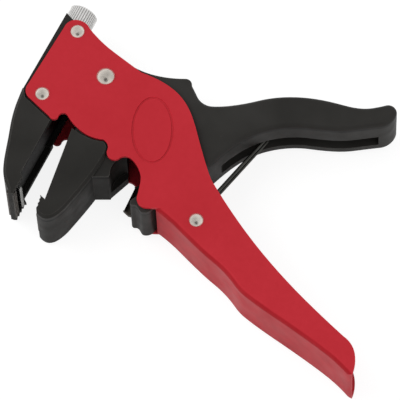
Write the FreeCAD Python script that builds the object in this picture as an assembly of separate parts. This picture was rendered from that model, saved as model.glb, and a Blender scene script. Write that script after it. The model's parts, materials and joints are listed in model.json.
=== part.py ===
import FreeCAD, Part
import math
import os
from FreeCAD import Vector

# Duckbill wire stripper lying on its far side, in millimetres.
# Plan points are (x, y) from the axis of the main pivot, z runs through the thickness.
# Z is zero on the middle plane while the pieces are made; put_down() moves them at the end.

# Thickness through the tool
CHANNEL_WIDTH = 22.0
SHEET = 1.2
CHEEK_GAP = 0.3
BEAK_WALL = 1.7
ARM_SHEET = 1.0
RUN_GAP = 0.3
END_FLOAT = 0.05
ARC_FIT = 0.1

# Pins and rivets
PIVOT_R = 2.6
BUSH_WALL = 1.0
PIVOT_HEAD_R = 3.1
SMALL_SHANK_R = 1.6
SMALL_HEAD_R = 2.45
PIN_FIT = 0.05
PIVOT_DOME = 1.7
SMALL_DOME = 1.35
FORMED_HEAD = 0.6
FAR_HEAD_LESS = 0.4
SLEEVE_R = 2.3
REAR_RIVET = (-9.8, 16.7)
FRONT_RIVET = (-21.1, -6.4)
SPRING_PIN = (30.9, -52.6)

# Travel
LEVER_CLOSE = 20.5

# Upper jaw: a point on its inner edge and the lean of that edge
EDGE_FOOT = (-18.2, -16.0)
JAW_LEAN = 64.1
JAW_DEPTH = 13.5
TOOTH_PITCH = 1.55
TOOTH_DEPTH = 0.45
PAD_PITCH = 0.8
PAD_TOOTH_DEPTH = 0.3
PAD_SEAT = -1.5
PAD_SHORT = 0.8
UPPER_HOOK = -23.0
UPPER_TIP = -30.2
UPPER_TEETH = 1.35
BEAK_BEVEL = 0.9

# Blades
BLADE_THICK = 1.2
BLADE_RIVET_R = 0.8
BLADE_RIVET_SPREAD = 0.65
BLADE_RIVET_OUT = -0.45
ARM_FLOOR = -1.6
ARM_BACK = ARM_FLOOR - ARM_SHEET
LIP_TOP = 0.6
UPPER_BLADE_BACK = -24.6
UPPER_EDGE = 2.2
LOWER_BLADE_BACK = -21.9
LOWER_EDGE = 1.2

# Lower jaw: a point on its inner edge and the lean of that edge
LOWER_FOOT = (-12.4, -23.5)
LOWER_LEAN = 72.1
EAR_R = 7.5
EAR_THICK = 1.7
EAR_ROOM_R = 14.0
LOWER_HOOK = -21.6
LOWER_TIP = -27.8
LOWER_TEETH = 1.75
LOWER_SLOT_END = -24.2
LOWER_BEVEL = 0.9

# Lever
HUB_R = 7.0
BOSS_R = 5.8
HORN_R = 3.2
DRAW_R = 14.0
DRAW_PIN_R = 1.5
GRIP_FILLET = 1.6
SLOT_HALF = 3.1
SLOT_MIDDLE = -2.5
SLOT_DEPTH = 5.5
HEEL_CLEAR = 9.7
HEEL_FROM = -42.9
HEEL_TO = -63.0
LEVER_TOP = [
    (30.0, -4.9), (31.6, -7.7), (33.9, -9.5), (37.5, -10.0), (44.5, -9.3), (53.8, -7.2), (63.2, -6.5),
    (70.8, -7.2), (81.5, -10.0), (86.6, -10.8), (90.4, -10.4), (93.8, -9.6),
]
LEVER_UNDERSIDE = [
    (87.0, -18.3), (79.5, -19.1), (72.0, -18.6), (64.0, -17.8), (57.5, -18.3), (50.9, -20.1), (44.6, -23.6),
]

# Knob, tension screw and spring
KNOB_R = 5.0
KNOB_HEIGHT = 8.7
KNOB_SEAT = 36.4
KNOB_RIBS = 36
KNOB_RIB_DEEP = 0.22
KNOB_CHAMFER = 0.9
KNOB_ENDS = 0.6
SCREW_R = 1.2
CHAMBER_R = 2.3
NUT_CORNER_R = 2.0
NUT_THICK = 2.8
NUT_PLACE = 26.0
SPRING_FOOT = 12.0
SCREW_OFFSET = -10.6
TENSION_COIL_R = 1.7
TENSION_WIRE = 0.6
TENSION_TURNS = 5
WIRE_SIDES = 4

# Return spring
RETURN_WIRE = 1.1
RETURN_COIL_R = 3.35
RETURN_TURNS = 2
RETURN_PITCH = 1.3
LOOP_HALF = 1.6
LEG_REACH = 42.5
LEG_IN_SLOT = 2.2
LEG_LEAVES = -8.9
LEG_BEND = (36.5, -38.4)
FOOT_FROM = 3.5
FOOT_TO = 8.55

# Cutter
CUTTER = [(9.7, -34.2), (6.0, -42.7), (7.7, -44.4), (13.0, -46.0), (17.0, -42.0), (15.0, -33.0)]
CUTTER_THICK = 1.6
CUTTER_GAP = 0.3
CUTTER_SCREWS = [(15.2, -38.0), (14.2, -43.2)]
CUTTER_SCREW_R = 0.9
CUTTER_SCREW_HEAD_R = 1.7
CUTTER_SCREW_HEAD = 1.2
CUTTER_SCREW_GRIP = 1.9
ANVIL_TOP = -5.3
NOTCH_CENTRE = (9.2, -35.4)
NOTCH_R = 7.3

# Folds and the embossed oval of the red frame
FOLD_R = 2.0
WEB_NORMAL = 0.71
MEDALLION = (16.0, -19.9)
MEDALLION_HALF = (7.1, 12.3)
GROOVE_WIDE = 0.9
GROOVE_DEEP = 0.3

OUT = CHANNEL_WIDTH / 2
CHEEK_IN = OUT - SHEET
ROOT = CHEEK_IN - CHEEK_GAP
EAR_IN = ROOT - EAR_THICK
BEAK_IN = OUT - BEAK_WALL
ROOT_IN = EAR_IN + 0.1
UPPER_ARM = ROOT_IN - RUN_GAP - 0.2
LOWER_ARM = UPPER_ARM - ARM_SHEET - RUN_GAP
HUB_HALF = LOWER_ARM - ARM_SHEET - RUN_GAP
LOWER_ROOM = LOWER_ARM + 0.8
BUSH_R = PIVOT_R + BUSH_WALL
BLADE_RIVET_Z = LOWER_ARM * BLADE_RIVET_SPREAD
CUTTER_LOW = ANVIL_TOP + CUTTER_GAP
CUTTER_HIGH = CUTTER_LOW + CUTTER_THICK
HEEL_R = math.hypot(*SPRING_PIN) - RETURN_COIL_R - RETURN_WIRE / 2 - HEEL_CLEAR


def vec(point, z=0.0):
    return Vector(point[0], point[1], z)


def shifted(points, dx, dy):
    return [(x + dx, y + dy) for x, y in points]


def polar(radius, degrees, centre=(0.0, 0.0)):
    angle = math.radians(degrees)
    return (centre[0] + radius * math.cos(angle), centre[1] + radius * math.sin(angle))


# The draw pin swings evenly to both sides of the line across the upper jaw
DRAW_PIN = polar(DRAW_R, JAW_LEAN + 90.0 + LEVER_CLOSE / 2)


def frame_point(foot, lean, along, across):
    """Plan point from a jaw's own axes: along its edge, and out of its open side."""
    c = math.cos(math.radians(lean))
    s = math.sin(math.radians(lean))
    return (foot[0] + along * c + across * s, foot[1] + along * s - across * c)


def upper(along, out):
    return frame_point(EDGE_FOOT, JAW_LEAN, along, out)


def lower(along, out):
    return frame_point(LOWER_FOOT, LOWER_LEAN, along, -out)


def curve(points):
    """Smooth line through the points, drawn as a run of arcs that meet without a corner."""
    smooth = Part.BSplineCurve()
    smooth.interpolate([vec(p) for p in points])
    return [Part.Edge(piece) for piece in smooth.toBiArcs(ARC_FIT)]


def line(a, b):
    return Part.LineSegment(vec(a), vec(b)).toShape()


def arc(a, b, c):
    return Part.Arc(vec(a), vec(b), vec(c)).toShape()


def outline(start, *steps):
    """Closed plan outline: each step is a list of points, drawn straight, as an arc or as a curve."""
    edges = []
    last = start
    for kind, *points in steps:
        if kind == "line":
            for point in points:
                edges.append(line(last, point))
                last = point
        elif kind == "arc":
            edges.append(arc(last, points[0], points[1]))
            last = points[1]
        else:
            edges += curve([last] + list(points))
            last = points[-1]
    if math.dist(last, start) > 1e-6:
        edges.append(line(last, start))
    return Part.Face(Part.Wire(edges))


def prism(face, bottom, top):
    solid = face.extrude(Vector(0, 0, top - bottom))
    solid.translate(Vector(0, 0, bottom))
    return solid


def polygon(points, bottom, top):
    return prism(outline(points[0], ("line", *points[1:])), bottom, top)


def disc(centre, radius, bottom, top):
    return Part.makeCylinder(radius, top - bottom, vec(centre, bottom))


def capsule(a, b, radius, bottom, top):
    dx = b[0] - a[0]
    dy = b[1] - a[1]
    length = math.hypot(dx, dy)
    nx = -dy / length * radius
    ny = dx / length * radius
    corners = [(a[0] + nx, a[1] + ny), (a[0] - nx, a[1] - ny), (b[0] - nx, b[1] - ny), (b[0] + nx, b[1] + ny)]
    bar = polygon(corners, bottom, top)
    return bar.fuse([disc(a, radius, bottom, top), disc(b, radius, bottom, top)]).removeSplitter()


def rod(start, end, radius):
    return Part.makeCylinder(radius, (end - start).Length, start, end - start)


def rim_edges(solid, z, keep=None):
    """Edges that lie wholly in the plane at height z, or those of them that keep() takes."""
    found = []
    for edge in solid.Edges:
        box = edge.BoundBox
        if abs(box.ZMin - z) < 1e-4 and abs(box.ZMax - z) < 1e-4:
            middle = edge.valueAt((edge.FirstParameter + edge.LastParameter) / 2)
            if keep is None or keep(middle):
                found.append(edge)
    return found


# Red frame: the web follows the underside of the fixed handle, and the cheeks run on from it to the head
WEB_LINE = [
    (17.0, -48.2), (22.4, -52.8), (33.6, -64.5), (41.6, -72.6), (44.7, -77.0),
    (47.8, -79.9), (60.0, -89.2), (69.6, -96.5), (77.4, -103.3), (80.6, -106.8),
]


def cheek_outline():
    back = (-14.2, 18.4)
    return outline(
        back,
        ("line", (-25.9, -2.8)),
        ("arc", (-26.7, -5.4), (-25.3, -8.0)),
        ("line", (-18.5, -14.8)),
        ("arc", (-17.1, -15.8), (-15.6, -14.9)),
        ("arc", (-13.9, -13.5), (-12.3, -14.7)),
        ("curve", (-9.6, -18.4), (-6.6, -21.0), (-3.5, -22.6), (-0.4, -23.3)),
        ("arc", (0.7, -24.3), (1.1, -27.0)),
        ("arc", (2.6, -30.5), (5.4, -29.8)),
        ("curve", (7.6, -29.5), (9.7, -30.8), (11.5, -33.8), (12.4, -37.3), (12.1, -40.2), (11.3, -43.6)),
        ("arc", (11.8, -46.8), (14.4, -48.1)),
        ("line", WEB_LINE[0]),
        ("curve", *WEB_LINE[1:]),
        ("line", (82.2, -107.4)),
        ("curve", (83.2, -103.2), (82.4, -97.9), (79.4, -94.0)),
        ("curve", (70.1, -84.6), (55.2, -67.6), (47.3, -56.9), (38.3, -42.6), (35.7, -38.0)),
        ("curve", (33.2, -30.0), (30.4, -19.4), (28.9, -14.3), (25.8, -8.2), (21.5, -3.9), (12.0, 1.3)),
        ("curve", (5.5, 6.5), (-0.1, 11.4), (-5.6, 17.6)),
        ("curve", (-8.2, 20.3), (-11.2, 20.9), back),
    )


def on_web(point):
    return any(math.dist((point.x, point.y), p) < 9.0 for p in WEB_LINE[2:-2])


def medallion_groove():
    """Shallow oval line pressed into the near cheek."""
    rings = []
    for inset in (0.0, GROOVE_WIDE):
        tall = vec(MEDALLION) + Vector(0, MEDALLION_HALF[1] - inset, 0)
        wide = vec(MEDALLION) + Vector(MEDALLION_HALF[0] - inset, 0, 0)
        ring = Part.Ellipse(tall, wide, vec(MEDALLION)).toShape()
        rings.append(prism(Part.Face(Part.Wire([ring])), OUT - GROOVE_DEEP, OUT))
    return rings[0].cut(rings[1])


def red_frame():
    body = prism(cheek_outline(), -OUT, OUT)
    folds = rim_edges(body, OUT, on_web) + rim_edges(body, -OUT, on_web)
    body = body.makeFillet(FOLD_R, folds)
    inward = shifted(WEB_LINE, SHEET * WEB_NORMAL, SHEET * WEB_NORMAL)
    room = outline(
        inward[0],
        ("curve", *inward[1:]),
        ("line", (90.0, -118.0), (110.0, -60.0), (110.0, 40.0), (-60.0, 40.0), (-60.0, -60.0), (14.0, -60.0)),
    )
    room = prism(room, -CHEEK_IN, CHEEK_IN)
    corners = rim_edges(room, CHEEK_IN, on_web) + rim_edges(room, -CHEEK_IN, on_web)
    body = body.cut(room.makeFillet(FOLD_R - SHEET, corners))
    cuts = [medallion_groove(), disc((0, 0), PIVOT_R + PIN_FIT, -OUT, OUT)]
    for place in (REAR_RIVET, FRONT_RIVET, SPRING_PIN):
        cuts.append(disc(place, SMALL_SHANK_R + PIN_FIT, -OUT, OUT))
    return body.cut(cuts)


# Rivets, sleeves and bushes
def dome_head(place, radius, height):
    """Round-topped head standing on the near cheek."""
    ball_r = (radius ** 2 + height ** 2) / (2 * height)
    ball = Part.makeSphere(ball_r, vec(place, OUT + height - ball_r))
    return ball.common(disc(place, radius, OUT, OUT + height))


def rivet(place, shank_r, head_r, dome):
    """Domed head on the near cheek, plain shank, low formed head on the far cheek."""
    shank = disc(place, shank_r, -OUT, OUT)
    far_r = head_r - FAR_HEAD_LESS
    far = Part.makeCone(far_r, far_r - FORMED_HEAD, FORMED_HEAD, vec(place, -OUT), Vector(0, 0, -1))
    return shank.fuse([dome_head(place, head_r, dome), far]).removeSplitter()


def small_rivets():
    """The two that hold the upper jaw, and the one on which the return spring sits."""
    places = (REAR_RIVET, FRONT_RIVET, SPRING_PIN)
    return Part.makeCompound([rivet(place, SMALL_SHANK_R, SMALL_HEAD_R, SMALL_DOME) for place in places])


def tube(place, inner, outer, bottom, top):
    return disc(place, outer, bottom, top).cut(disc(place, inner, bottom, top))


def pivot_bush():
    return tube((0, 0), PIVOT_R + PIN_FIT, BUSH_R, -CHEEK_IN + END_FLOAT, CHEEK_IN - END_FLOAT)


def spring_sleeve():
    return tube(SPRING_PIN, SMALL_SHANK_R + PIN_FIT, SLEEVE_R, -CHEEK_IN + END_FLOAT, CHEEK_IN - END_FLOAT)


# Upper jaw
def saw(place_of, first, last, line_out, pitch=TOOTH_PITCH, depth=TOOTH_DEPTH):
    """Teeth from one place along a jaw's edge to another, each a long flank and a short step."""
    points = []
    along = first
    while along - pitch > last - 0.01:
        points.append(place_of(along, line_out - depth))
        points.append(place_of(along - pitch * 0.8, line_out))
        along -= pitch
    return points


BEAK_BACK = [
    (-29.5, -8.9), (-30.9, -14.0), (-31.7, -19.3), (-32.7, -26.0), (-33.4, -31.7), (-33.4, -35.6), (-32.7, -38.4),
    (-31.8, -40.8),
]


def upper_outline():
    teeth = [upper(UPPER_HOOK + 1.3, 0.0), upper(UPPER_HOOK, UPPER_TEETH + 0.3)]
    teeth += saw(upper, UPPER_HOOK - 0.4, UPPER_TIP, UPPER_TEETH)
    return outline(
        upper(32.3, 0.0),
        ("line", upper(38.3, -JAW_DEPTH), (-27.9, -4.2)),
        ("curve", *BEAK_BACK, upper(UPPER_TIP, -0.4)),
        ("line", *reversed(teeth)),
    )


def in_beak(bottom, top):
    """The part of the plan outside the red cheeks, where the jaw is as wide as the frame."""
    corners = [
        (-35.0, -2.6), (-27.4, -4.0), (-26.9, -7.7), (-18.9, -15.7), (-15.0, -19.0), (-15.0, -55.0), (-45.0, -55.0),
    ]
    return polygon(corners, bottom, top)


def upper_jaw():
    flat = upper_outline()
    beak = prism(flat, -OUT, OUT).common(in_beak(-OUT, OUT))
    back = [e for z in (-OUT, OUT) for e in rim_edges(beak, z, lambda p: p.x < -31.5)]
    beak = beak.makeChamfer(BEAK_BEVEL, back)
    body = prism(flat, -ROOT, ROOT).fuse(beak)
    root_room = [(30.3, 3.0), (30.3, -8.0), (27.0, -8.0), (27.0, -11.7), (10.8, -11.7), (10.8, -3.9)]
    root_room += [(4.0, -3.9), (4.0, -11.7), (-2.0, -11.0), (-2.0, 3.0)]
    beak_room = [(-1.9, 3.0), (-1.9, -11.0), (-8.6, -8.5), (-20.8, -5.1), (-24.2, -3.8), (-26.7, -1.5)]
    beak_room += [(UPPER_TIP + PAD_SHORT, PAD_SEAT), (UPPER_TIP + PAD_SHORT, 3.0)]
    cuts = [
        polygon([upper(*p) for p in root_room], -ROOT_IN, ROOT_IN),
        polygon([upper(*p) for p in beak_room], -BEAK_IN, BEAK_IN),
        along_jaw(SCREW_R + PIN_FIT, 30.0, 40.0),
        along_jaw(CHAMBER_R, 11.4, 30.3),
        along_jaw(KNOB_R + RUN_GAP, KNOB_SEAT - RUN_GAP, 48.0),
        disc(REAR_RIVET, SMALL_SHANK_R + PIN_FIT, -ROOT, ROOT),
        disc(FRONT_RIVET, SMALL_SHANK_R + PIN_FIT, -ROOT, ROOT),
    ]
    return body.cut(cuts).removeSplitter()


def along_jaw(radius, low, high):
    """Cylinder on the tension screw's axis, between two places along the upper jaw."""
    return rod(vec(upper(low, SCREW_OFFSET)), vec(upper(high, SCREW_OFFSET)), radius)


def upper_grip_pad():
    first = -27.0
    last = UPPER_TIP + PAD_SHORT
    teeth = saw(upper, first, last, UPPER_TEETH, PAD_PITCH, PAD_TOOTH_DEPTH)
    corners = [upper(first, PAD_SEAT)] + teeth + [upper(last, UPPER_TEETH), upper(last, PAD_SEAT)]
    return polygon(corners, -BEAK_IN, BEAK_IN)


# Upper blade slide: a folded strip that carries the blade and is drawn back by the pin
def blade_arm(place_of, back, floor_end, ear, half):
    """Folded strip: a floor with a lip at the blade's end and an ear down each side for the draw pin."""
    floor = [(back, ARM_FLOOR), (floor_end, ARM_FLOOR), (floor_end, ARM_BACK), (back, ARM_BACK)]
    lip = [(back, ARM_BACK), (back, LIP_TOP), (back + ARM_SHEET, LIP_TOP), (back + ARM_SHEET, ARM_BACK)]
    floor = [place_of(*p) for p in floor]
    lip = [place_of(*p) for p in lip]
    ear = [place_of(*p) for p in ear]
    body = polygon(floor, -half, half).fuse([
        polygon(lip, -half, half),
        polygon(ear, half - ARM_SHEET, half),
        polygon(ear, -half, ARM_SHEET - half),
    ])
    return body.cut([pin_slot(place_of, half)] + blade_rivet_holes(place_of, back)).removeSplitter()


def upper_blade_arm():
    ear = [(3.0, ARM_FLOOR), (24.5, -0.8), (24.5, -7.6), (14.5, -7.6), (12.5, ARM_BACK), (3.0, ARM_BACK)]
    return blade_arm(upper, UPPER_BLADE_BACK, 8.0, ear, UPPER_ARM)


def pin_slot(place_of, half):
    """Cross slot in which the draw pin runs: long across the jaw, a running fit along it."""
    across = vec(place_of(0.0, 1.0)) - vec(place_of(0.0, 0.0))
    low = vec(DRAW_PIN) - across * 0.6
    high = vec(DRAW_PIN) + across * 0.6
    return capsule((low.x, low.y), (high.x, high.y), DRAW_PIN_R + RUN_GAP, -half, half)


def blade(place_of, back, edge, half):
    """Flat blade across the jaw with a chisel edge, its back face on the slide's lip."""
    front = back - BLADE_THICK
    foot = ARM_FLOOR + 0.2
    corners = [(back, foot), (back, edge - 0.9), (back - 0.5, edge), (front, edge - 0.6), (front, foot)]
    return polygon([place_of(*p) for p in corners], -half, half)


def blade_rivet_holes(place_of, back):
    radius = BLADE_RIVET_R + PIN_FIT
    front = place_of(back - BLADE_THICK, BLADE_RIVET_OUT)
    behind = place_of(back + ARM_SHEET, BLADE_RIVET_OUT)
    return [rod(vec(front, z), vec(behind, z), radius) for z in (-BLADE_RIVET_Z, BLADE_RIVET_Z)]


def blade_rivets(place_of, back):
    """Two plain pins, flush with the blade's face and with the lip behind it."""
    front = place_of(back - BLADE_THICK, BLADE_RIVET_OUT)
    behind = place_of(back + ARM_SHEET, BLADE_RIVET_OUT)
    ends = [(vec(front, z), vec(behind, z)) for z in (-BLADE_RIVET_Z, BLADE_RIVET_Z)]
    return Part.makeCompound([rod(start, end, BLADE_RIVET_R) for start, end in ends])


def drilled_blade(place_of, back, edge, half):
    return blade(place_of, back, edge, half).cut(blade_rivet_holes(place_of, back))


# Lower jaw
LOWER_BACK = [
    (-0.1, -29.9), (-2.8, -34.6), (-5.8, -39.0), (-11.8, -46.8), (-14.8, -50.0), (-18.0, -51.7),
]


def lower_front():
    """Outline of the toothed front part, which is as wide as the frame."""
    teeth = [lower(LOWER_HOOK - 1.0, 0.0), lower(LOWER_HOOK, LOWER_TEETH + 0.25)]
    teeth += saw(lower, LOWER_HOOK - 0.4, LOWER_TIP, LOWER_TEETH)
    return outline(
        (-10.9, -19.2),
        ("curve", (-7.0, -21.9), (-3.6, -23.4), (-0.4, -24.1)),
        ("arc", (0.4, -25.2), (0.6, -27.0)),
        ("line", LOWER_BACK[0]),
        ("curve", *LOWER_BACK[1:], lower(LOWER_TIP, LOWER_TEETH - 0.6)),
        ("line", *reversed(teeth)),
    )


def lower_jaw():
    front = prism(lower_front(), -OUT, OUT)
    below = [e for z in (-OUT, OUT) for e in rim_edges(front, z, lambda p: p.y < -31.0 and p.x > p.y / 3)]
    front = front.makeChamfer(LOWER_BEVEL, below)
    corners = [(7.4, 0.0), (7.4, -30.3), (1.7, -35.7), (1.5, -36.2), (-5.0, -36.2)]
    corners += [lower(-8.0, -2.0), lower(20.5, 0.0)]
    body = polygon(corners, -ROOT, ROOT).fuse([disc((0, 0), EAR_R, -ROOT, ROOT), front])
    slot = [lower(LOWER_SLOT_END, 4.0), lower(40.0, 4.0), lower(40.0, -5.2), lower(LOWER_SLOT_END + 4.0, -5.2)]
    slot += [lower(LOWER_SLOT_END, -2.6)]
    pad_end = LOWER_TIP + PAD_SHORT
    pad = [(LOWER_SLOT_END, PAD_SEAT), (pad_end, PAD_SEAT), (pad_end, 4.0), (LOWER_SLOT_END, 4.0)]
    pad = [lower(*p) for p in pad]
    cuts = [
        polygon(slot, -LOWER_ROOM, LOWER_ROOM),
        polygon(pad, -LOWER_ROOM, LOWER_ROOM),
        disc((0, 0), EAR_ROOM_R, -EAR_IN, EAR_IN),
        disc((0, 0), BUSH_R + PIN_FIT, -ROOT, ROOT),
        disc(NOTCH_CENTRE, NOTCH_R, ANVIL_TOP, OUT),
    ]
    return body.cut(cuts).removeSplitter()


def lower_grip_pad():
    first = LOWER_SLOT_END
    last = LOWER_TIP + PAD_SHORT
    teeth = saw(lower, first, last, LOWER_TEETH, PAD_PITCH, PAD_TOOTH_DEPTH)
    corners = [lower(first, PAD_SEAT)] + teeth + [lower(last, LOWER_TEETH), lower(last, PAD_SEAT)]
    return polygon(corners, -LOWER_ROOM, LOWER_ROOM)


def lower_blade_arm():
    ear = [(2.0, ARM_BACK), (12.0, ARM_BACK), (24.5, 6.0), (29.0, 6.6), (29.0, 12.4), (22.6, 12.4), (12.0, 2.4)]
    ear.append((2.0, ARM_FLOOR))
    return blade_arm(lower, LOWER_BLADE_BACK, 7.0, ear, LOWER_ARM)


# Lever: hub, horn with the draw pin, moving handle and the arm of the cutter
def lever_outline():
    return outline(
        (7.6, 5.2),
        ("curve", (15.8, 1.2), (23.5, -0.2), (26.6, -0.3)),
        ("arc", (28.2, -0.9), (28.9, -2.3)),
        ("curve", *LEVER_TOP),
        ("arc", (96.4, -10.2), (97.4, -12.7)),
        ("arc", (95.6, -15.9), (91.5, -17.7)),
        ("curve", *LEVER_UNDERSIDE, polar(HEEL_R, HEEL_FROM)),
        ("arc", polar(HEEL_R, (HEEL_FROM + HEEL_TO) / 2), polar(HEEL_R, HEEL_TO)),
        ("line", (16.6, -47.6)),
        ("arc", (15.3, -48.9), (13.2, -49.3)),
        ("curve", (12.2, -48.8), (11.3, -47.1), (9.9, -46.6)),
        ("arc", (8.8, -45.6), (9.3, -44.6)),
        ("line", (11.1, -43.3)),
        ("curve", (12.4, -41.5), (13.2, -36.0), (14.8, -29.0)),
        ("line", (9.2, -4.2), (8.0, 3.0)),
    )


def handle_slot():
    floor = shifted(LEVER_UNDERSIDE, 0.0, SLOT_DEPTH)
    face = outline(
        (91.4, -22.0),
        ("line", (91.4, floor[0][1])),
        ("curve", *floor),
        ("line", (39.5, -22.5), (38.0, -34.0)),
    )
    return prism(face, SLOT_MIDDLE - SLOT_HALF, SLOT_MIDDLE + SLOT_HALF)


def lever_handle():
    grip = prism(lever_outline(), -ROOT, ROOT)
    rims = [e for z in (-ROOT, ROOT) for e in rim_edges(grip, z, lambda p: p.x > 28.5 and p.y > -36.0)]
    grip = grip.makeFillet(GRIP_FILLET, rims)
    hub = disc((0, 0), HUB_R, -HUB_HALF, HUB_HALF)
    boss = disc((0, 0), BOSS_R, RUN_GAP - EAR_IN, EAR_IN - RUN_GAP)
    bridge = polygon([(0.0, HUB_R), (10.0, 5.0), (12.0, -9.0), (0.0, -HUB_R)], -HUB_HALF, HUB_HALF)
    horn = capsule((0, 0), DRAW_PIN, HORN_R, -HUB_HALF, HUB_HALF)
    body = grip.fuse([hub, boss, bridge, horn])
    cuts = [
        handle_slot(),
        polygon(CUTTER, CUTTER_LOW, CUTTER_HIGH),
        disc((0, 0), BUSH_R + PIN_FIT, -ROOT, ROOT),
        disc(DRAW_PIN, DRAW_PIN_R, -ROOT, ROOT),
    ]
    for place in CUTTER_SCREWS:
        cuts.append(disc(place, CUTTER_SCREW_R, -ROOT, CUTTER_HIGH + CUTTER_SCREW_GRIP))
        cuts.append(disc(place, CUTTER_SCREW_HEAD_R, -ROOT, CUTTER_SCREW_HEAD - ROOT))
    return body.cut(cuts).removeSplitter()


def wedge(a, b, reach, low, high):
    """Solid that takes the bevel off an edge from a to b: sloping from high, reach inside, down to low."""
    run = vec(b) - vec(a)
    inside = Vector(-run.y, run.x, 0).normalize()
    slope = (high - low) / reach
    section = [
        vec(a, high) + inside * reach,
        vec(a, high) - inside,
        vec(a, low - slope) - inside,
    ]
    return Part.Face(Part.makePolygon(section + section[:1])).extrude(run)


def cutter_blade():
    body = polygon(CUTTER, CUTTER_LOW, CUTTER_HIGH)
    body = body.cut(wedge(CUTTER[0], CUTTER[1], 2.0, CUTTER_LOW + 0.1, CUTTER_HIGH))
    return body.cut([disc(place, CUTTER_SCREW_R, CUTTER_LOW, CUTTER_HIGH) for place in CUTTER_SCREWS])


def cutter_blade_screws():
    screws = []
    for place in CUTTER_SCREWS:
        head = disc(place, CUTTER_SCREW_HEAD_R, -ROOT, CUTTER_SCREW_HEAD - ROOT)
        shank = disc(place, CUTTER_SCREW_R, -ROOT, CUTTER_HIGH + CUTTER_SCREW_GRIP)
        screws.append(head.fuse(shank).removeSplitter())
    return Part.makeCompound(screws)


def draw_pin():
    half = ROOT_IN - RUN_GAP
    return disc(DRAW_PIN, DRAW_PIN_R, -half, half)


# Knob, screw, nut and spring in the head of the upper jaw
def on_screw_axis(shape, along):
    """Moves a shape made along z at the origin onto the tension screw's axis."""
    heading = vec(polar(1.0, JAW_LEAN))
    turned = shape.copy()
    turned.Placement = FreeCAD.Placement(vec(upper(along, SCREW_OFFSET)), FreeCAD.Rotation(Vector(0, 0, 1), heading))
    return turned


def tension_knob():
    """Ribbed band between two bevelled ends, bored for the screw."""
    ribs = []
    for number in range(KNOB_RIBS):
        step = 360.0 / KNOB_RIBS
        ribs.append(polar(KNOB_R - KNOB_RIB_DEEP, number * step))
        ribs.append(polar(KNOB_R, (number + 0.5) * step))
    full = KNOB_R - KNOB_RIB_DEEP
    small = KNOB_R - KNOB_CHAMFER
    top = KNOB_HEIGHT - KNOB_ENDS
    foot = Part.makeCone(small, full, KNOB_ENDS)
    crown = Part.makeCone(full, small, KNOB_ENDS, Vector(0, 0, top))
    body = polygon(ribs, KNOB_ENDS, top).fuse([foot, crown]).cut(disc((0, 0), SCREW_R, 0.0, KNOB_HEIGHT / 2))
    return on_screw_axis(body, KNOB_SEAT)


def tension_screw():
    low = SPRING_FOOT + 0.6
    return along_jaw(SCREW_R, low, KNOB_SEAT + KNOB_HEIGHT / 2)


def tension_nut():
    flats = [polar(NUT_CORNER_R, 60.0 * number) for number in range(6)]
    body = polygon(flats, 0.0, NUT_THICK).cut(disc((0, 0), SCREW_R + PIN_FIT, 0.0, NUT_THICK))
    return on_screw_axis(body, NUT_PLACE)


def coil(radius, wire_r, turns, height, left):
    """Wire wound about z from the origin up, starting and ending at angle zero, its section a polygon."""
    path = Part.makeHelix(height / turns, height, radius, 0, left)
    start = path.Edges[0].valueAt(path.Edges[0].FirstParameter)
    heading = path.Edges[0].tangentAt(path.Edges[0].FirstParameter)
    outward = Vector(wire_r, 0, 0)
    upward = heading.cross(outward)
    corners = [polar(1.0, (side + 0.5) * 360.0 / WIRE_SIDES) for side in range(WIRE_SIDES)]
    section = [start + outward * x + upward * y for x, y in corners]
    section = Part.makePolygon(section + section[:1])
    return Part.Wire(path).makePipeShell([section], True, True)


def tension_spring():
    height = NUT_PLACE - SPRING_FOOT - TENSION_WIRE
    body = coil(TENSION_COIL_R, TENSION_WIRE / 2, TENSION_TURNS, height, False)
    return on_screw_axis(body, SPRING_FOOT + TENSION_WIRE / 2)


# Return spring: two coils on the sleeve, joined by a long loop that pushes on the lever
def return_wires():
    """Heights of the two wires of the loop."""
    return (SLOT_MIDDLE - LOOP_HALF, SLOT_MIDDLE + LOOP_HALF)


def joined(points, radius):
    """Round wire through the points, with a ball at each bend."""
    parts = [rod(a, b, radius) for a, b in zip(points, points[1:])]
    parts += [Part.makeSphere(radius, p) for p in points[1:-1]]
    return parts


def loop_tip():
    """Where the loop's far end lies: its reach from the pin, a little way into the lever's slot."""
    way = Part.makePolygon([vec(p) for p in shifted(LEVER_UNDERSIDE, 0.0, LEG_IN_SLOT)])
    reach = Part.makeCircle(LEG_REACH, vec(SPRING_PIN))
    meeting = way.distToShape(reach)[1][0][0]
    return (meeting.x, meeting.y)


def return_spring():
    thick = RETURN_WIRE / 2
    low, high = return_wires()
    leaving = polar(RETURN_COIL_R, LEG_LEAVES, SPRING_PIN)
    tip = loop_tip()
    path = [vec(p, low) for p in (leaving, LEG_BEND, tip)] + [vec(p, high) for p in (tip, LEG_BEND, leaving)]
    pieces = joined(path, thick)
    height = RETURN_PITCH * RETURN_TURNS
    for left, base in ((False, low - height), (True, high)):
        wound = coil(RETURN_COIL_R, thick, RETURN_TURNS, height, left)
        wound.rotate(Vector(0, 0, 0), Vector(0, 0, 1), LEG_LEAVES)
        wound.translate(vec(SPRING_PIN, base))
        pieces.append(wound)
    return pieces[0].fuse(pieces[1:])


def spring_anchor_feet():
    thick = RETURN_WIRE / 2
    low, high = return_wires()
    height = RETURN_PITCH * RETURN_TURNS
    heading = vec(polar(1.0, LEG_LEAVES - 90.0))
    feet = []
    for z in (low - height, high + height):
        foot = vec(polar(RETURN_COIL_R, LEG_LEAVES, SPRING_PIN), z)
        feet.append(rod(foot + heading * FOOT_FROM, foot + heading * FOOT_TO, thick))
    return Part.makeCompound(feet)


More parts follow.
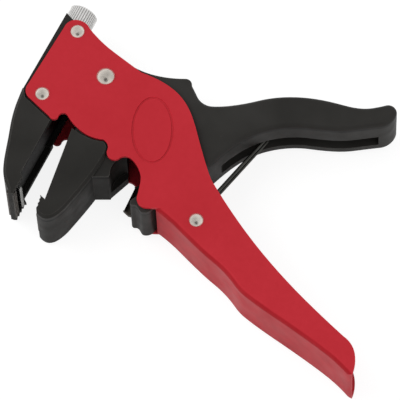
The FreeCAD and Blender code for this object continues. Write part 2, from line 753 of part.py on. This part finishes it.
def make_all():
    return {
        "red_frame": red_frame(),
        "pivot_rivet": rivet((0, 0), PIVOT_R, PIVOT_HEAD_R, PIVOT_DOME),
        "small_rivets": small_rivets(),
        "pivot_bush": pivot_bush(),
        "spring_sleeve": spring_sleeve(),
        "spring_anchor_feet": spring_anchor_feet(),
        "return_spring": return_spring(),
        "upper_jaw": upper_jaw(),
        "upper_grip_pad": upper_grip_pad(),
        "upper_blade_arm": upper_blade_arm(),
        "upper_blade": drilled_blade(upper, UPPER_BLADE_BACK, UPPER_EDGE, UPPER_ARM),
        "upper_blade_rivets": blade_rivets(upper, UPPER_BLADE_BACK),
        "tension_knob": tension_knob(),
        "tension_screw": tension_screw(),
        "tension_nut": tension_nut(),
        "tension_spring": tension_spring(),
        "lower_jaw": lower_jaw(),
        "lower_grip_pad": lower_grip_pad(),
        "lower_blade_arm": lower_blade_arm(),
        "lower_blade": drilled_blade(lower, LOWER_BLADE_BACK, LOWER_EDGE, LOWER_ARM),
        "lower_blade_rivets": blade_rivets(lower, LOWER_BLADE_BACK),
        "lever_handle": lever_handle(),
        "draw_pin": draw_pin(),
        "cutter_blade": cutter_blade(),
        "cutter_blade_screws": cutter_blade_screws(),
    }


def put_down(pieces):
    """Moves the whole tool so that the origin is under the middle of it, on the surface it lies on."""
    box = FreeCAD.BoundBox()
    for shape in pieces.values():
        box.add(shape.optimalBoundingBox(False))
    for shape in pieces.values():
        shape.translate(Vector(-box.Center.x, -box.Center.y, -box.ZMin))
    return pieces


def main():
    os.makedirs("parts", exist_ok=True)
    for name, shape in put_down(make_all()).items():
        shape.exportStep(os.path.join("parts", name + ".step"))


main()
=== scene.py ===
import json
import math

import bpy
from mathutils import Matrix, Vector

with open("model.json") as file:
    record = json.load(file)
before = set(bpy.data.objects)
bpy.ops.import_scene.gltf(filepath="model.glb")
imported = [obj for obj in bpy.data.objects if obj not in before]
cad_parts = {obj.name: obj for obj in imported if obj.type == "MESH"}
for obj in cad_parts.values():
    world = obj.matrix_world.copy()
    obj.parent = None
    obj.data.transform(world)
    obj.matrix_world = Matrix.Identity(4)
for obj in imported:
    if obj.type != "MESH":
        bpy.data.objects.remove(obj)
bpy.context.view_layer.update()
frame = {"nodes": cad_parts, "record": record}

NODES = frame["nodes"]
MM = 0.001

# Places on the part, in millimetres and degrees
PIVOT = (-31.958, 38.204)
MIDDLE_HEIGHT = 11.6
EDGE_FOOT = (-18.2, -16.0)
JAW_LEAN = 64.1
SCREW_OFFSET = -10.6
KNOB_SEAT = 36.4
KNOB_RIBS = 36
CHEEK_LOW_IN = 1.8
CHEEK_HIGH_IN = 21.4
# Heights, in millimetres, of the painted shade lines along the creases of the lower jaw and the handle
LOWER_JAW_CREASE_SHADE = (19.3, 20.0)
HANDLE_CREASE_SHADE = (18.9, 19.4)

# Borders of the masks: parts of a normal, and a cosine between true and rounded normals
SLOPE_SOFT = 0.12
FLAT_COSINE = 0.995
EDGE_COSINE = 0.86
BAND_SOFT = 0.35
INSIDE_SOFT = 0.15

# Small rounded edges that the pieces get, in millimetres
EDGE_MM = {"red_frame": 0.22, "upper_jaw": 0.3, "lower_jaw": 0.3, "lever_handle": 0.3, "cutter_blade": 0.05}
OTHER_EDGE_MM = 0.1
EDGE_ANGLE = math.radians(38.0)
WELD_MM = 0.002

# Stage and light, in metres, and the strength at which a colour renders as it is written
FLOOR_REACH = 3.0
FLOOR_MATT = (0.86, 0.86, 0.86, 1.0)
FLOOR_SHADED = (0.22, 0.22, 0.22, 1.0)
FLOOR_GLOW = 0.86
FLOOR_IN_GLOSS = 0.3
SKY_LOW = 0.8
SKY_OVERHEAD = 0.48
LAMP_SIDE = 0.9
KEY_PLACE = (-0.8, 0.25, 0.85)
KEY_POWER = 6.6
FILL_PLACE = (0.7, -0.5, 0.8)
FILL_POWER = 2.4
CARD_LEAN = math.radians(37.0)
CARD_DISTANCE = 1.8
CARD_RADIUS = 0.72
CARD_SIDES = 32

# Camera, with its place given by the point it looks at and the way it looks
ELEVATION = math.radians(66.0)
AZIMUTH = math.radians(-3.612)
ROLL = math.radians(-3.3)
DISTANCE = 1.6
LENS = 432.0
SENSOR = 36.0
CLIP_END = 20.0
LOOK_AT = Vector((-0.195, -2.29, MIDDLE_HEIGHT)) * MM


def linear(red, green, blue):
    """Screen colour of 0 to 255 to the linear value that a shader takes."""
    out = []
    for part in (red, green, blue):
        value = part / 255
        out.append(value / 12.92 if value <= 0.04045 else ((value + 0.055) / 1.055) ** 2.4)
    return (*out, 1.0)


class Look:
    """A material under construction: a Principled shader and the nodes that feed it."""

    def __init__(self, name, base, metallic=0.0, roughness=0.5, specular=0.5):
        self.material = bpy.data.materials.new(name)
        self.material.use_nodes = True
        self.nodes = self.material.node_tree.nodes
        self.links = self.material.node_tree.links
        self.shader = self.nodes["Principled BSDF"]
        self.shader.inputs["Base Color"].default_value = base
        self.shader.inputs["Metallic"].default_value = metallic
        self.shader.inputs["Roughness"].default_value = roughness
        self.shader.inputs["Specular IOR Level"].default_value = specular
        self.place = self.nodes.new("ShaderNodeTexCoord").outputs["Object"]
        self.bump_out = None

    def noise(self, per_mm, detail=3.0, stretch=None, turn=0.0):
        """Noise with about per_mm features to a millimetre, stretched along one direction if asked."""
        source = self.place
        if stretch:
            mapping = self.nodes.new("ShaderNodeMapping")
            mapping.inputs["Rotation"].default_value = (0.0, 0.0, turn)
            mapping.inputs["Scale"].default_value = stretch
            self.links.new(source, mapping.inputs["Vector"])
            source = mapping.outputs["Vector"]
        node = self.nodes.new("ShaderNodeTexNoise")
        node.inputs["Scale"].default_value = per_mm / MM
        node.inputs["Detail"].default_value = detail
        self.links.new(source, node.inputs["Vector"])
        return node.outputs["Fac"]

    def ramp(self, value, low, high, low_out=0.0, high_out=1.0):
        node = self.nodes.new("ShaderNodeMapRange")
        node.inputs["From Min"].default_value = low
        node.inputs["From Max"].default_value = high
        node.inputs["To Min"].default_value = low_out
        node.inputs["To Max"].default_value = high_out
        self.links.new(value, node.inputs["Value"])
        return node.outputs["Result"]

    def maths(self, kind, first, second):
        node = self.nodes.new("ShaderNodeMath")
        node.operation = kind
        for socket, value in zip(node.inputs, (first, second)):
            if isinstance(value, (int, float)):
                socket.default_value = value
            else:
                self.links.new(value, socket)
        return node.outputs["Value"]

    def times(self, first, second):
        return self.maths("MULTIPLY", first, second)

    def edges(self, radius_mm):
        """1 on sharp outer edges and in folds, 0 on flat ground."""
        bevel = self.nodes.new("ShaderNodeBevel")
        bevel.samples = 4
        bevel.inputs["Radius"].default_value = radius_mm * MM
        geometry = self.nodes.new("ShaderNodeNewGeometry")
        dot = self.nodes.new("ShaderNodeVectorMath")
        dot.operation = "DOT_PRODUCT"
        self.links.new(bevel.outputs["Normal"], dot.inputs[0])
        self.links.new(geometry.outputs["Normal"], dot.inputs[1])
        return self.ramp(dot.outputs["Value"], FLAT_COSINE, EDGE_COSINE)

    def band(self, low_mm, high_mm, soft_mm):
        """1 where the height over the floor lies between two values, with soft borders."""
        parts = self.nodes.new("ShaderNodeSeparateXYZ")
        self.links.new(self.place, parts.inputs["Vector"])
        rise = self.ramp(parts.outputs["Z"], (low_mm - soft_mm) * MM, low_mm * MM)
        fall = self.ramp(parts.outputs["Z"], high_mm * MM, (high_mm + soft_mm) * MM, 1.0, 0.0)
        return self.times(rise, fall)

    def slope(self, low, high):
        """1 where the upward part of the surface's normal lies between two values."""
        geometry = self.nodes.new("ShaderNodeNewGeometry")
        parts = self.nodes.new("ShaderNodeSeparateXYZ")
        self.links.new(geometry.outputs["Normal"], parts.inputs["Vector"])
        rise = self.ramp(parts.outputs["Z"], low - SLOPE_SOFT, low)
        fall = self.ramp(parts.outputs["Z"], high, high + SLOPE_SOFT, 1.0, 0.0)
        return self.times(rise, fall)

    def mix(self, mask, first, second):
        node = self.nodes.new("ShaderNodeMix")
        node.data_type = "RGBA"
        self.links.new(mask, node.inputs["Factor"])
        for socket, value in ((node.inputs[6], first), (node.inputs[7], second)):
            if isinstance(value, tuple):
                socket.default_value = value
            else:
                self.links.new(value, socket)
        return node.outputs[2]

    def colour(self, output):
        self.links.new(output, self.shader.inputs["Base Color"])

    def roughness(self, output):
        self.links.new(output, self.shader.inputs["Roughness"])

    def bump(self, height, distance_mm, strength):
        node = self.nodes.new("ShaderNodeBump")
        node.inputs["Strength"].default_value = strength
        node.inputs["Distance"].default_value = distance_mm * MM
        self.links.new(height, node.inputs["Height"])
        if self.bump_out is not None:
            self.links.new(self.bump_out, node.inputs["Normal"])
        self.bump_out = node.outputs["Normal"]
        self.links.new(self.bump_out, self.shader.inputs["Normal"])


def red_enamel():
    """Red paint: cloudy, with painted shade inside the channel and along its folds, paler on worn edges."""
    look = Look("red_enamel", linear(182, 42, 52), roughness=0.4, specular=0.1)
    cloud = look.noise(0.03, 3.0)
    fine = look.noise(0.55, 4.0)
    base = look.mix(look.ramp(cloud, 0.35, 0.65), linear(184, 42, 51), linear(191, 46, 56))
    base = look.mix(look.ramp(fine, 0.3, 0.75, 0.0, 0.3), base, linear(176, 36, 45))
    specks = look.ramp(look.noise(1.6, 2.0), 0.72, 0.78)
    base = look.mix(look.times(specks, 0.3), base, linear(200, 88, 92))
    # Painted shade: patchy darker red on the surfaces inside the channel, between the inner faces of the cheeks.
    inside = look.band(CHEEK_LOW_IN, CHEEK_HIGH_IN, INSIDE_SOFT)
    inside_shade = look.ramp(look.noise(0.2, 3.0), 0.3, 0.7, 0.0, 0.25)
    base = look.mix(look.times(inside, inside_shade), base, linear(120, 20, 28))
    # Painted shade: darker, deeper red where the surface slopes between flat and upright, along the bends of the
    # channel's folds.
    fold_shade = look.times(look.slope(0.28, 0.8), look.ramp(look.noise(0.12, 2.0), 0.3, 0.6, 0.7, 1.0))
    base = look.mix(look.times(fold_shade, 0.75), base, linear(150, 16, 26))
    wear = look.times(look.edges(0.4), look.ramp(look.noise(0.35, 4.0), 0.38, 0.62, 0.4, 1.0))
    base = look.mix(look.times(wear, 0.6), base, linear(226, 50, 64))
    look.colour(base)
    look.roughness(look.ramp(look.noise(0.12, 5.0), 0.3, 0.7, 0.3, 0.44))
    look.bump(look.noise(0.45, 2.0), 0.012, 0.4)
    look.bump(look.noise(3.0, 2.0), 0.003, 0.4)
    return look.material


def black_coat(name, low, high, rough, grain, shine, crease_shade=None):
    """Black coat with dust and worn edges, and a painted shade line along a crease between two heights if asked.
    """
    look = Look(name, linear(*low), roughness=rough, specular=shine)
    base = look.mix(look.ramp(look.noise(0.05, 4.0), 0.35, 0.65), linear(*low), linear(*high))
    dust = look.ramp(look.noise(1.1, 3.0), 0.68, 0.82, 0.0, 0.35)
    base = look.mix(dust, base, linear(74, 72, 69))
    wear = look.times(look.edges(0.35), look.ramp(look.noise(0.5, 4.0), 0.4, 0.65, 0.35, 1.0))
    base = look.mix(look.times(wear, 0.5), base, linear(112, 109, 104))
    if crease_shade:
        # Painted shade: a near-black line on the upright walls between two heights, standing in for the shadow in
        # the crease.
        line = look.times(look.band(*crease_shade, BAND_SOFT), look.slope(-0.3, 0.3))
        base = look.mix(look.times(line, 0.8), base, linear(8, 8, 7))
    look.colour(base)
    look.roughness(look.ramp(look.noise(0.2, 5.0), 0.3, 0.7, rough - 0.07, rough + 0.1))
    look.bump(look.noise(1.4, 3.0), 0.015, grain)
    look.bump(look.noise(5.0, 2.0), 0.005, grain)
    return look.material


def metal(name, tone, rough, stretch=(1.0, 1.0, 1.0), turn=0.0, stain=0.0, scratch=0.3, metallic=1.0):
    look = Look(name, linear(*tone), metallic=metallic, roughness=rough)
    dark = tuple(int(part * 0.86) for part in tone)
    base = look.mix(look.ramp(look.noise(0.3, 4.0), 0.35, 0.65), linear(*tone), linear(*dark))
    if stain:
        marks = look.ramp(look.noise(0.6, 5.0), 0.55, 0.75, 0.0, stain)
        base = look.mix(marks, base, linear(88, 76, 64))
    look.colour(base)
    lines = look.noise(2.5, 3.0, stretch, turn)
    look.roughness(look.ramp(lines, 0.3, 0.7, rough - 0.06, rough + 0.08))
    look.bump(lines, 0.008, scratch)
    return look.material


def knurled(name, tone, rough, foot, heading, lines):
    """Bright metal with painted shade lines in the grooves between the ribs, counted round an axis."""
    look = Look(name, linear(*tone), metallic=0.65, roughness=rough)
    along = Vector(heading).normalized()
    turn = Vector((0.0, 0.0, 1.0)).rotation_difference(along).inverted()
    shift = look.nodes.new("ShaderNodeVectorMath")
    shift.operation = "SUBTRACT"
    look.links.new(look.place, shift.inputs[0])
    shift.inputs[1].default_value = foot
    spin = look.nodes.new("ShaderNodeVectorRotate")
    spin.rotation_type = "EULER_XYZ"
    spin.inputs["Rotation"].default_value = turn.to_euler()
    look.links.new(shift.outputs["Vector"], spin.inputs["Vector"])
    sweep = look.nodes.new("ShaderNodeTexGradient")
    sweep.gradient_type = "RADIAL"
    look.links.new(spin.outputs["Vector"], sweep.inputs["Vector"])
    wave = look.maths("COSINE", look.times(sweep.outputs["Fac"], lines * 2 * math.pi), 0.0)
    # Painted shade: darker grey lines in the valleys between the ribs.
    groove_shade = look.ramp(wave, 0.1, 0.9, 1.0, 0.0)
    stained = look.mix(look.ramp(look.noise(0.5, 4.0), 0.4, 0.7), linear(*tone), linear(236, 235, 233))
    look.colour(look.mix(groove_shade, linear(160, 159, 157), stained))
    look.roughness(look.ramp(look.noise(1.2, 4.0), 0.3, 0.7, rough - 0.05, rough + 0.1))
    look.bump(look.noise(2.0, 3.0), 0.01, 0.3)
    return look.material


def along_upper_jaw(along, out):
    """Point on the part, from a place along the upper jaw's edge and one out of its open side."""
    lean = math.radians(JAW_LEAN)
    x = PIVOT[0] + EDGE_FOOT[0] + along * math.cos(lean) + out * math.sin(lean)
    y = PIVOT[1] + EDGE_FOOT[1] + along * math.sin(lean) - out * math.cos(lean)
    return Vector((x, y, MIDDLE_HEIGHT)) * MM


JAW_TURN = math.radians(-JAW_LEAN)
KNOB_FOOT = along_upper_jaw(KNOB_SEAT, SCREW_OFFSET)
KNOB_HEADING = along_upper_jaw(KNOB_SEAT + 10.0, SCREW_OFFSET) - KNOB_FOOT
LOOKS = {
    "red_paint": red_enamel(),
    "black_jaw": black_coat("black_jaw_coat", (40, 39, 37), (48, 47, 45), 0.46, 0.5, 0.1),
    "black_lower": black_coat("black_lower_jaw_coat", (38, 37, 35), (46, 45, 43), 0.46, 0.5, 0.1, LOWER_JAW_CREASE_SHADE),
    "black_handle": black_coat("black_handle_coat", (43, 42, 40), (51, 50, 48), 0.4, 0.3, 0.12, HANDLE_CREASE_SHADE),
    "black_steel": metal("black_steel", (52, 51, 49), 0.45, stain=0.2),
    "dark_steel": metal("dark_steel", (86, 80, 74), 0.42, stain=0.5),
    "blade_steel": metal("blade_steel", (196, 196, 193), 0.26, (6.0, 1.0, 0.2), JAW_TURN),
    "plated_steel": metal("plated_steel", (150, 149, 144), 0.34, stain=0.15),
    "nickel": metal("nickel_rivet", (244, 236, 225), 0.22, stain=0.06, scratch=0.12, metallic=0.85),
    "spring_wire": metal("spring_wire", (84, 84, 80), 0.38, stain=0.2),
    "knob_metal": knurled("knob_metal", (252, 251, 249), 0.36, KNOB_FOOT, KNOB_HEADING, KNOB_RIBS),
}
OTHER_LOOK = {"cutter_blade": "dark_steel", "lower_jaw": "black_lower"}
SLOT_OF = {part["node"]: part["material_slot"] for part in frame["record"]["subparts"]}


def dress(node, bevel_mm):
    """Gives a CAD node its material, smooth shading between sharp edges and small rounded edges."""
    part = NODES[node]
    part.data.materials.clear()
    part.data.materials.append(LOOKS[OTHER_LOOK.get(node, SLOT_OF[node])])
    for face in part.data.polygons:
        face.use_smooth = True
        face.material_index = 0
    weld = part.modifiers.new("weld", "WELD")
    weld.merge_threshold = WELD_MM * MM
    bevel = part.modifiers.new("edges", "BEVEL")
    bevel.width = bevel_mm * MM
    bevel.segments = 2
    bevel.limit_method = "ANGLE"
    bevel.angle_limit = EDGE_ANGLE
    split = part.modifiers.new("split", "EDGE_SPLIT")
    split.split_angle = EDGE_ANGLE
    split.use_edge_sharp = False
    flats = part.modifiers.new("flats", "WEIGHTED_NORMAL")
    flats.mode = "FACE_AREA"
    flats.weight = 80
    flats.thresh = 0.01


for name in NODES:
    dress(name, EDGE_MM.get(name, OTHER_EDGE_MM))


def floor():
    """Floor that looks white to the camera, weaker in gloss, keeps the shadow and lights the part as matt."""
    mesh = bpy.data.meshes.new("floor")
    far = FLOOR_REACH
    mesh.from_pydata([(-far, -far, 0), (far, -far, 0), (far, far, 0), (-far, far, 0)], [], [(0, 1, 2, 3)])
    ground = bpy.data.objects.new("floor", mesh)
    bpy.context.scene.collection.objects.link(ground)
    material = bpy.data.materials.new("floor")
    material.use_nodes = True
    nodes, links = material.node_tree.nodes, material.node_tree.links
    nodes.clear()
    out = nodes.new("ShaderNodeOutputMaterial")
    path = nodes.new("ShaderNodeLightPath")
    matt = nodes.new("ShaderNodeBsdfDiffuse")
    matt.inputs["Color"].default_value = FLOOR_MATT
    shaded = nodes.new("ShaderNodeBsdfDiffuse")
    shaded.inputs["Color"].default_value = FLOOR_SHADED
    mirrored = nodes.new("ShaderNodeMath")
    mirrored.operation = "MULTIPLY"
    mirrored.inputs[1].default_value = FLOOR_IN_GLOSS
    links.new(path.outputs["Is Glossy Ray"], mirrored.inputs[0])
    seen = nodes.new("ShaderNodeMath")
    seen.operation = "MAXIMUM"
    links.new(path.outputs["Is Camera Ray"], seen.inputs[0])
    links.new(mirrored.outputs["Value"], seen.inputs[1])
    glow = nodes.new("ShaderNodeEmission")
    glow.inputs["Color"].default_value = (1.0, 1.0, 1.0, 1.0)
    glow.inputs["Strength"].default_value = FLOOR_GLOW
    both = nodes.new("ShaderNodeAddShader")
    links.new(shaded.outputs["BSDF"], both.inputs[0])
    links.new(glow.outputs["Emission"], both.inputs[1])
    pick = nodes.new("ShaderNodeMixShader")
    links.new(seen.outputs["Value"], pick.inputs["Fac"])
    links.new(matt.outputs["BSDF"], pick.inputs[1])
    links.new(both.outputs["Shader"], pick.inputs[2])
    links.new(pick.outputs["Shader"], out.inputs["Surface"])
    mesh.materials.append(material)


def sky():
    """Pale dome, a little greyer overhead than low down."""
    world = bpy.data.worlds.new("studio")
    bpy.context.scene.world = world
    world.use_nodes = True
    nodes, links = world.node_tree.nodes, world.node_tree.links
    back = nodes["Background"]
    way = nodes.new("ShaderNodeTexCoord")
    parts = nodes.new("ShaderNodeSeparateXYZ")
    grade = nodes.new("ShaderNodeMapRange")
    grade.inputs["From Min"].default_value = 0.1
    grade.inputs["From Max"].default_value = 0.95
    grade.inputs["To Min"].default_value = SKY_LOW
    grade.inputs["To Max"].default_value = SKY_OVERHEAD
    links.new(way.outputs["Generated"], parts.inputs["Vector"])
    links.new(parts.outputs["Z"], grade.inputs["Value"])
    links.new(grade.outputs["Result"], back.inputs["Strength"])
    back.inputs["Color"].default_value = (1.0, 1.0, 1.0, 1.0)


def dark_card():
    """Dark round card high in front of the part, seen only in the gloss of the metal and the paint."""
    towards = Vector((0.0, -math.sin(CARD_LEAN), math.cos(CARD_LEAN)))
    corners = []
    for number in range(CARD_SIDES):
        angle = number * 2 * math.pi / CARD_SIDES
        corners.append((CARD_RADIUS * math.cos(angle), CARD_RADIUS * math.sin(angle), 0.0))
    mesh = bpy.data.meshes.new("dark_card")
    mesh.from_pydata(corners, [], [tuple(range(CARD_SIDES))])
    card = bpy.data.objects.new("dark_card", mesh)
    bpy.context.scene.collection.objects.link(card)
    card.location = towards * CARD_DISTANCE
    card.rotation_euler = towards.to_track_quat("Z", "Y").to_euler()
    material = bpy.data.materials.new("dark_card")
    material.use_nodes = True
    shader = material.node_tree.nodes["Principled BSDF"]
    shader.inputs["Base Color"].default_value = (0.01, 0.01, 0.01, 1.0)
    shader.inputs["Specular IOR Level"].default_value = 0.0
    mesh.materials.append(material)
    card.visible_camera = False
    card.visible_diffuse = False
    card.visible_shadow = False


def lamp(name, place, power):
    """Square lamp that faces the part and isn't seen in its gloss."""
    data = bpy.data.lights.new(name, "AREA")
    data.shape = "RECTANGLE"
    data.size = LAMP_SIDE
    data.size_y = LAMP_SIDE
    data.energy = power
    lit = bpy.data.objects.new(name, data)
    bpy.context.scene.collection.objects.link(lit)
    lit.location = place
    lit.visible_glossy = False
    lit.rotation_euler = (-Vector(place)).to_track_quat("-Z", "Y").to_euler()


def camera():
    ahead = Vector((
        math.cos(ELEVATION) * math.sin(AZIMUTH),
        math.cos(ELEVATION) * math.cos(AZIMUTH),
        -math.sin(ELEVATION),
    ))
    level = Vector((math.cos(AZIMUTH), -math.sin(AZIMUTH), 0.0))
    upright = level.cross(ahead)
    right = level * math.cos(ROLL) + upright * math.sin(ROLL)
    up = upright * math.cos(ROLL) - level * math.sin(ROLL)
    data = bpy.data.cameras.new("camera")
    data.sensor_width = SENSOR
    data.lens = LENS
    data.clip_end = CLIP_END
    eye = bpy.data.objects.new("camera", data)
    bpy.context.scene.collection.objects.link(eye)
    turn = Matrix((right, up, -ahead)).transposed().to_4x4()
    eye.matrix_world = Matrix.Translation(LOOK_AT - ahead * DISTANCE) @ turn
    bpy.context.scene.camera = eye


floor()
sky()
lamp("key", KEY_PLACE, KEY_POWER)
lamp("fill", FILL_PLACE, FILL_POWER)
dark_card()
camera()
bpy.context.scene.view_settings.view_transform = "Standard"
